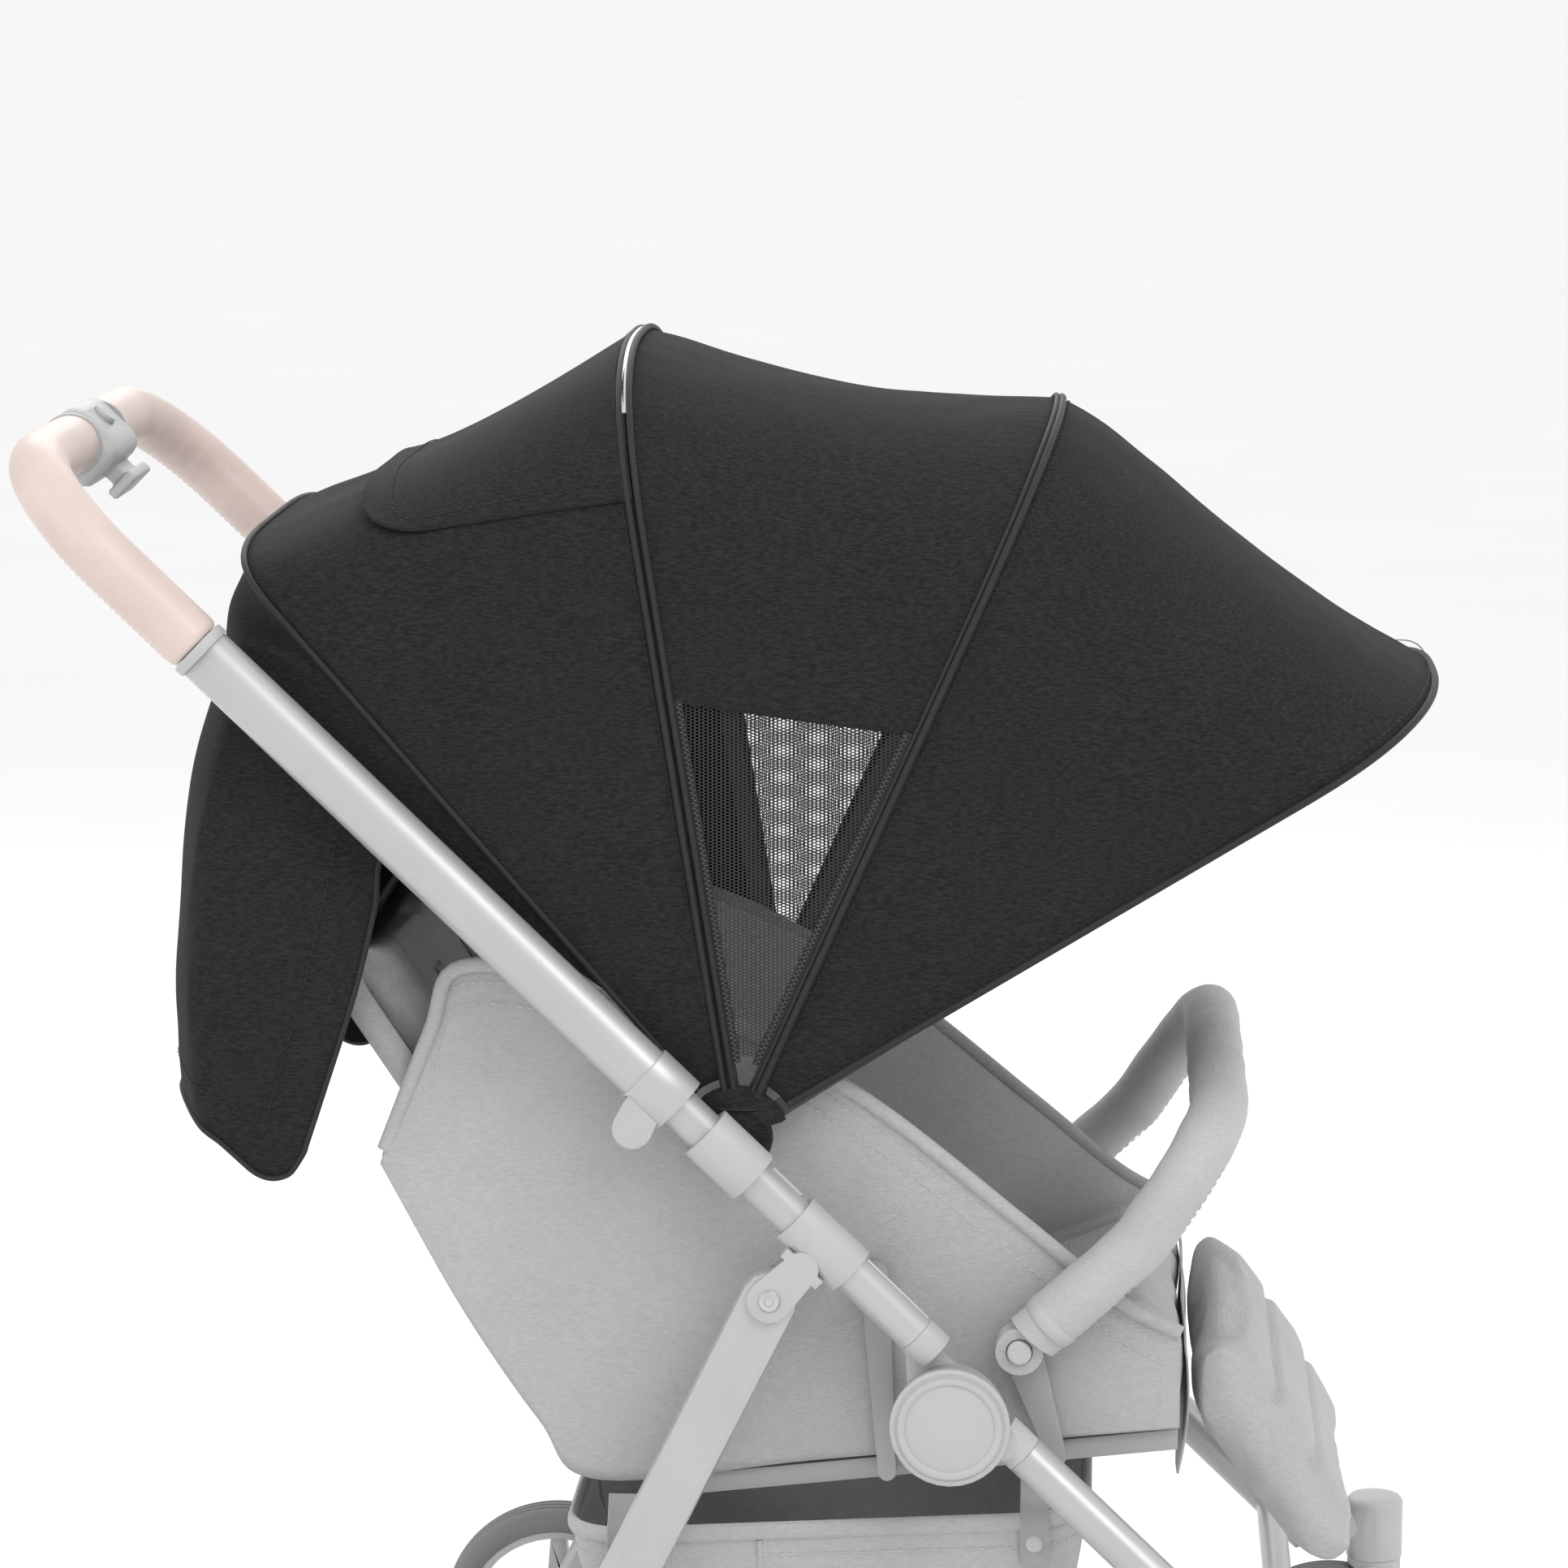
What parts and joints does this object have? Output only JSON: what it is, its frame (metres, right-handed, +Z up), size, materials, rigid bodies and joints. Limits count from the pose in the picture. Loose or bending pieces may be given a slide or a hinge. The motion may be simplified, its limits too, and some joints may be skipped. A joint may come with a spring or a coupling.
{
  "type": "baby stroller",
  "caption": "Folding baby stroller with a telescopic leather handle, a hinged canopy with mesh sides, a reclining seat, a bumper bar, swivelling front wheels and a basket.",
  "frame": {"origin": "on the ground, at the middle of the stroller's length and width", "axes": "+X is the way the stroller rolls, +Y is its left-hand side, +Z is up"},
  "size_m": [0.9904, 0.57, 1.1062],
  "materials": {
    "frame_grey": "satin powder-coated tube",
    "joint_grey": "fine matt moulding",
    "leather": "smooth stitched cover",
    "canopy_cloth": "melange weave",
    "canopy_mesh": "open knit",
    "seat_cloth": "plain weave",
    "bumper_foam": "padded sleeve",
    "board": "plain moulding",
    "webbing": "woven strap",
    "bow_plastic": "smooth strip",
    "tyre": "foam tyre",
    "rim": "moulded spokes",
    "steel": "bare axle"
  },
  "bodies": {
    "main_frame": {"mid_tube_right": "frame_grey", "mid_tube_left": "frame_grey", "hub_upper_right": "joint_grey", "hub_upper_left": "joint_grey", "leg_bracket_right": "joint_grey", "leg_bracket_left": "joint_grey", "canopy_mount_right": "joint_grey", "canopy_mount_left": "joint_grey", "seat_base": "board", "seat_cushion": "seat_cloth", "seat_side_right": "seat_cloth", "seat_side_left": "seat_cloth", "crotch_strap": "webbing", "harness_buckle": "joint_grey", "basket": "seat_cloth", "canopy_rear_panel": "canopy_cloth", "rear_drop_flap": "canopy_cloth"},
    "push_handle": {"push_sleeve_right": "frame_grey", "push_sleeve_left": "frame_grey", "handle_core": "frame_grey", "leather_grip_right": "leather", "leather_grip_left": "leather", "handle_housing": "joint_grey"},
    "release_trigger": {"release_trigger": "joint_grey"},
    "lock_button": {"lock_button": "joint_grey"},
    "front_legs": {"front_leg_right": "frame_grey", "front_leg_left": "frame_grey", "hub_lower_right": "joint_grey", "hub_lower_left": "joint_grey", "front_cross_bar": "frame_grey"},
    "caster_right": {"caster_fork_right": "joint_grey"},
    "caster_left": {"caster_fork_left": "joint_grey"},
    "front_wheel_right": {"front_tyre_right": "tyre", "front_rim_right": "rim"},
    "front_wheel_left": {"front_tyre_left": "tyre", "front_rim_left": "rim"},
    "rear_legs": {"rear_leg_right": "frame_grey", "rear_leg_left": "frame_grey", "rear_axle": "steel"},
    "brake": {"brake_pedal": "joint_grey"},
    "rear_wheel_right": {"rear_tyre_right": "tyre", "rear_rim_right": "rim"},
    "rear_wheel_left": {"rear_tyre_left": "tyre", "rear_rim_left": "rim"},
    "backrest": {"backrest_board": "board", "backrest_pad": "seat_cloth", "shoulder_strap_right": "webbing", "shoulder_strap_left": "webbing"},
    "leg_rest": {"leg_rest_pad": "seat_cloth"},
    "bumper": {"bumper_bar": "bumper_foam"},
    "bumper_button_right": {"bumper_button_right": "joint_grey"},
    "bumper_button_left": {"bumper_button_left": "joint_grey"},
    "canopy_rear": {"canopy_bow_rear": "bow_plastic", "canopy_mid_panel": "canopy_cloth", "mesh_window_right": "canopy_mesh", "mesh_window_left": "canopy_mesh"},
    "canopy_mid": {"canopy_bow_mid": "bow_plastic", "canopy_front_panel": "canopy_cloth"},
    "canopy_front": {"canopy_bow_front": "bow_plastic"}
  },
  "joints": [
    {"name": "frame_fold", "type": "hinge", "parent": "main_frame", "child": "front_legs", "pos_m": [0.1438, 0, 0.40309], "axis": [0, 1, 0], "range_deg": [0, 130], "deforming": ["basket", "rear_drop_flap"]},
    {"name": "rear_leg_fold", "type": "hinge", "parent": "main_frame", "child": "rear_legs", "pos_m": [0.02355, 0, 0.48586], "axis": [0, 1, 0], "range_deg": [0, 93.6]},
    {"name": "handle_telescope", "type": "slide", "parent": "main_frame", "child": "push_handle", "axis": [-0.7193, 0, 0.6947], "range_m": [0, 0.09]},
    {"name": "trigger_squeeze", "type": "slide", "parent": "push_handle", "child": "release_trigger", "axis": [-0.7193, 0, 0.6947], "range_m": [0, 0.005], "stiffness_N_per_m": 400, "springref_m": -0.001},
    {"name": "lock_button_press", "type": "slide", "parent": "push_handle", "child": "lock_button", "axis": [-0.6947, 0, -0.7193], "range_m": [0, 0.003], "stiffness_N_per_m": 400, "springref_m": -0.001},
    {"name": "caster_swivel_right", "type": "hinge", "parent": "front_legs", "child": "caster_right", "pos_m": [0.4519, -0.23, 0.164], "axis": [0, 0, 1], "continuous": true},
    {"name": "front_wheel_spin_right", "type": "hinge", "parent": "caster_right", "child": "front_wheel_right", "pos_m": [0.4199, -0.23, 0.07776], "axis": [0, 1, 0], "continuous": true},
    {"name": "rear_wheel_spin_right", "type": "hinge", "parent": "rear_legs", "child": "rear_wheel_right", "pos_m": [-0.1711, -0.266, 0.08972], "axis": [0, 1, 0], "continuous": true},
    {"name": "caster_swivel_left", "type": "hinge", "parent": "front_legs", "child": "caster_left", "pos_m": [0.4519, 0.23, 0.164], "axis": [0, 0, 1], "continuous": true},
    {"name": "front_wheel_spin_left", "type": "hinge", "parent": "caster_left", "child": "front_wheel_left", "pos_m": [0.4199, 0.23, 0.07776], "axis": [0, 1, 0], "continuous": true},
    {"name": "rear_wheel_spin_left", "type": "hinge", "parent": "rear_legs", "child": "rear_wheel_left", "pos_m": [-0.1711, 0.266, 0.08972], "axis": [0, 1, 0], "continuous": true},
    {"name": "brake_press", "type": "hinge", "parent": "rear_legs", "child": "brake", "pos_m": [-0.1711, 0, 0.08972], "axis": [0, -1, 0], "range_deg": [0, 20]},
    {"name": "backrest_recline", "type": "hinge", "parent": "main_frame", "child": "backrest", "pos_m": [-0.0551, 0, 0.368], "axis": [0, 1, 0], "range_deg": [-35, 0]},
    {"name": "leg_rest_lift", "type": "hinge", "parent": "main_frame", "child": "leg_rest", "pos_m": [0.3119, 0, 0.425], "axis": [0, -1, 0], "range_deg": [0, 60]},
    {"name": "bumper_swing", "type": "hinge", "parent": "main_frame", "child": "bumper", "pos_m": [0.1889, 0, 0.445], "axis": [0, 1, 0], "range_deg": [0, 25]},
    {"name": "bumper_button_press_right", "type": "slide", "parent": "bumper", "child": "bumper_button_right", "axis": [0, 1, 0], "range_m": [0, 0.003], "stiffness_N_per_m": 400, "springref_m": -0.001},
    {"name": "bumper_button_press_left", "type": "slide", "parent": "bumper", "child": "bumper_button_left", "axis": [0, -1, 0], "range_m": [0, 0.003], "stiffness_N_per_m": 400, "springref_m": -0.001},
    {"name": "canopy_fold", "type": "hinge", "parent": "main_frame", "child": "canopy_rear", "pos_m": [-0.0001, 0, 0.59], "axis": [0, -1, 0], "range_deg": [0, 28], "deforming": ["canopy_rear_panel", "canopy_mid_panel", "mesh_window_right", "mesh_window_left"]},
    {"name": "canopy_mid_fold", "type": "hinge", "parent": "canopy_rear", "child": "canopy_mid", "pos_m": [-0.0001, 0, 0.59], "axis": [0, -1, 0], "range_deg": [0, 28], "deforming": ["canopy_front_panel"]},
    {"name": "canopy_front_fold", "type": "hinge", "parent": "canopy_mid", "child": "canopy_front", "pos_m": [-0.0001, 0, 0.59], "axis": [0, -1, 0], "range_deg": [0, 28]}
  ],
  "couplings": [
    {"joint": "rear_leg_fold", "follows": "frame_fold", "ratio": 0.72},
    {"joint": "canopy_mid_fold", "follows": "canopy_fold", "ratio": 1},
    {"joint": "canopy_front_fold", "follows": "canopy_fold", "ratio": 1}
  ]
}
